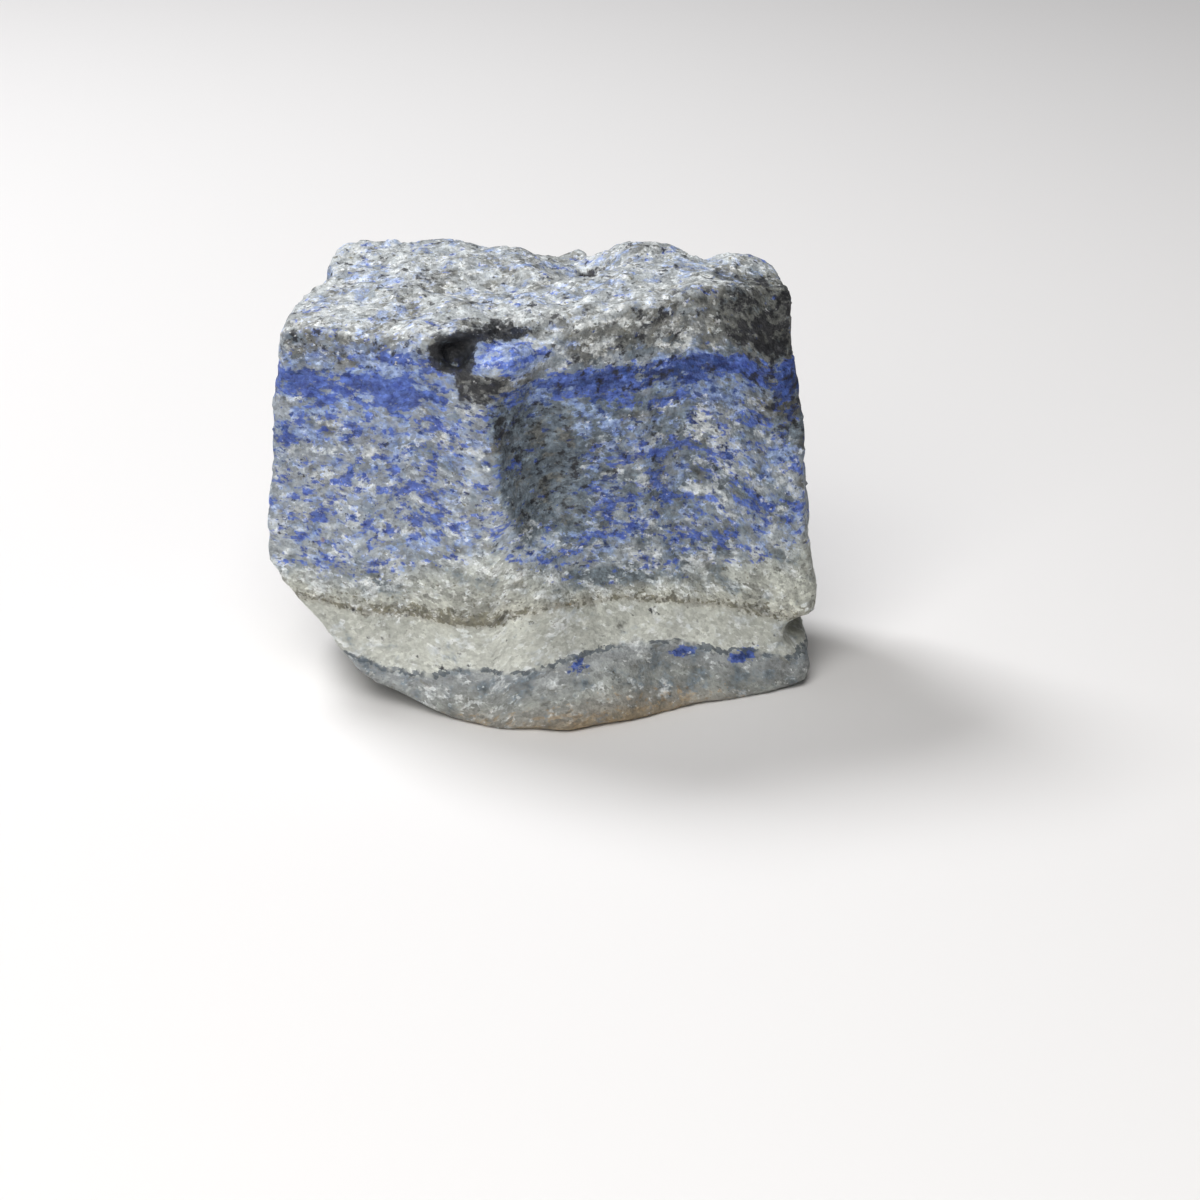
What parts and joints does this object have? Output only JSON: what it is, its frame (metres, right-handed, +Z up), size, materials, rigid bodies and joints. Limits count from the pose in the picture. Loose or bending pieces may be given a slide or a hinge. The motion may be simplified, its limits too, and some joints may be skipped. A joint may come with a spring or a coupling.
{
  "type": "rough lapis lazuli",
  "caption": "Rough block of banded lapis lazuli: a blunt wedge of blue-flecked marble with broken faces, a ledge, a flute and a small flat spot to rest on.",
  "frame": {"origin": "bottom centre of the stone's box, at the height of the flat spot it rests on", "axes": "+X along the stone's long side, to the right as seen from the front; +Y to the back; +Z up"},
  "size_m": [0.056, 0.0416, 0.042],
  "materials": {
    "lapis_marble": "broken, fine-grained and dull: pale grey calcite marble in level bands, flecked and banded with blue lazurite, a brown-olive pyrite seam and a plain white layer near the foot"
  },
  "bodies": {
    "root": {"lapis_stone": "lapis_marble"}
  },
  "joints": []
}
